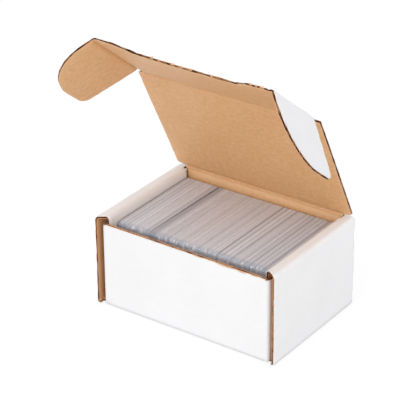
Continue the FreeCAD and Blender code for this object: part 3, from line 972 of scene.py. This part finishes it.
for node in pack_nodes:
    low, high = pack_boxes[node]
    others = [box for name, box in pack_boxes.items() if name != node]
    gap = min((low.x - other_high.x for other_low, other_high in others if other_high.x <= low.x), default=0)
    count = max(fewest_cards, round((high.x - low.x) / card_thickness))
    pitch = (high.x - low.x) / count
    points, faces, tones, fronts = [], [], [], []
    drift = 0.5
    for number in range(count):
        x = low.x + pitch * number
        drift = drift_keep * drift + (1 - drift_keep) * chance.random()
        tone = card_tone(x, drift, x - low.x if gap > crack_least else None)
        across = (x - first_x) / stack_length
        shift = chance.uniform(-most_shift, 0.0)
        drop = left_drop * (1 - across) + chance.uniform(0.0, most_drop)
        front_reach = cool_reach + cool_growth * across + chance.uniform(-cool_chance, cool_chance)
        ring, ring_fronts = card_ring(low.y + shift, high.y + shift, low.z, high.z - drop, front_reach)
        lean = lean_share * gap * math.exp(-(x - low.x) / lean_reach)
        first = len(points)
        for share in card_side_shares:
            for y, z in ring:
                ahead = (high.y - y) / (high.y - low.y)
                points.append((x + pitch * share - lean * min(1.0, lean_rise * ahead), y, z))
        size = len(ring)
        faces.append([first + index for index in reversed(range(size))])
        faces.append([first + size + index for index in range(size)])
        for index in range(size):
            following = (index + 1) % size
            faces.append([first + index, first + following, first + size + following, first + size + index])
        tones += [tone] * (2 * size)
        fronts += ring_fronts * 2
    mesh = bpy.data.meshes.new(f"{node}_cards")
    mesh.from_pydata(points, [], faces)
    mesh.materials.append(stock)
    add_mark(mesh, "tone", tones)
    add_mark(mesh, "front", fronts)
    piece = shaded_piece(f"{node}_cards", mesh)
    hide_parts(node)
    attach(piece, "box")

# Camera, from a fit of the box, lid and flap to the photograph
azimuth = math.radians(35.274)
elevation = math.radians(27.882)
roll = math.radians(-0.33)
camera_spot = (0.72907, -1.05212, 0.75816)
camera_data = bpy.data.cameras.new("camera")
camera_data.sensor_width = 36
camera_data.lens = 169.72
camera_data.clip_end = 50
camera = bpy.data.objects.new("camera", camera_data)
bpy.context.scene.collection.objects.link(camera)
view_back = Vector((
    math.sin(azimuth) * math.cos(elevation), -math.cos(azimuth) * math.cos(elevation), math.sin(elevation)
))
view_right = Vector((math.cos(azimuth), math.sin(azimuth), 0))
view_up = view_back.cross(view_right)
rolled_right = view_right * math.cos(roll) + view_up * math.sin(roll)
rolled_up = view_up * math.cos(roll) - view_right * math.sin(roll)
turn = Matrix((rolled_right, rolled_up, view_back)).transposed()
camera.matrix_world = Matrix.Translation(camera_spot) @ turn.to_4x4()
bpy.context.scene.camera = camera

# Floor: white to the camera, with the object's shadow kept in it
floor_reach = 4.0
floor_drop = 0.2 * mm
floor_grey = 0.8
floor_seen = 0.26
floor_lift = 0.02
floor_mesh = bpy.data.meshes.new("floor")
floor_corners = rectangle(-floor_reach, floor_reach, -floor_reach, floor_reach)
floor_mesh.from_pydata([(x, y, 0) for x, y in floor_corners], [], [(0, 1, 2, 3)])
floor = bpy.data.objects.new("floor", floor_mesh)
floor.location.z = -floor_drop
bpy.context.scene.collection.objects.link(floor)


def seen_directly(graph):
    """1 for camera, glossy and transmission rays, 0 for the rays that light the object."""
    path = graph.node("ShaderNodeLightPath")
    first = graph.math("MAXIMUM", path.outputs["Is Camera Ray"], path.outputs["Is Glossy Ray"])
    return graph.math("MAXIMUM", first, path.outputs["Is Transmission Ray"])


ground = bpy.data.materials.new("floor_white")
ground.use_nodes = True
graph = Graph(ground)
ground.node_tree.nodes.clear()
output = graph.node("ShaderNodeOutputMaterial")
matte = graph.node("ShaderNodeBsdfDiffuse")
grey = graph.range(seen_directly(graph), 0.0, 1.0, floor_grey, floor_seen)
graph.feed(matte.inputs["Color"], grey)
glow = graph.node("ShaderNodeEmission")
graph.feed(glow.inputs["Strength"], graph.times(seen_directly(graph), 1 - floor_seen + floor_lift))
both = graph.node("ShaderNodeAddShader")
graph.feed(both.inputs[0], matte.outputs[0])
graph.feed(both.inputs[1], glow.outputs[0])
graph.feed(output.inputs["Surface"], both.outputs[0])
floor_mesh.materials.append(ground)

# Sky: white where it is seen, and a little brighter from the front where it lights the object
sky_front_y, sky_front = -0.3, 1.02
sky_back_y, sky_back = 0.9, 0.79
world = bpy.data.worlds.new("studio")
bpy.context.scene.world = world
world.use_nodes = True
graph = Graph(world)
world.node_tree.nodes.clear()
output = graph.node("ShaderNodeOutputWorld")
sky = graph.node("ShaderNodeBackground")
sky.inputs["Color"].default_value = (1, 1, 1, 1)
way = graph.node("ShaderNodeSeparateXYZ")
graph.feed(way.inputs[0], graph.node("ShaderNodeTexCoord").outputs["Generated"])
lighting = graph.range(way.outputs[1], sky_front_y, sky_back_y, sky_front, sky_back)
graph.feed(sky.inputs["Strength"], graph.range(seen_directly(graph), 0.0, 1.0, lighting, 1.0))
graph.feed(output.inputs["Surface"], sky.outputs[0])

lamp_aim = Vector((0, 0, 0.08))


def soft_lamp(name, place, size, power):
    lamp_data = bpy.data.lights.new(name, "AREA")
    lamp_data.shape = "DISK"
    lamp_data.size = size
    lamp_data.energy = power
    lamp = bpy.data.objects.new(name, lamp_data)
    lamp.location = place
    aim = lamp_aim - lamp.location
    lamp.rotation_euler = aim.to_track_quat("-Z", "Y").to_euler()
    bpy.context.scene.collection.objects.link(lamp)


soft_lamp("key_lamp", (0.1, -1.95, 0.92), size=1.3, power=6.8)
soft_lamp("fill_lamp", (1.78, -0.75, 0.42), size=1.2, power=3.0)

bpy.context.scene.view_settings.view_transform = "Standard"
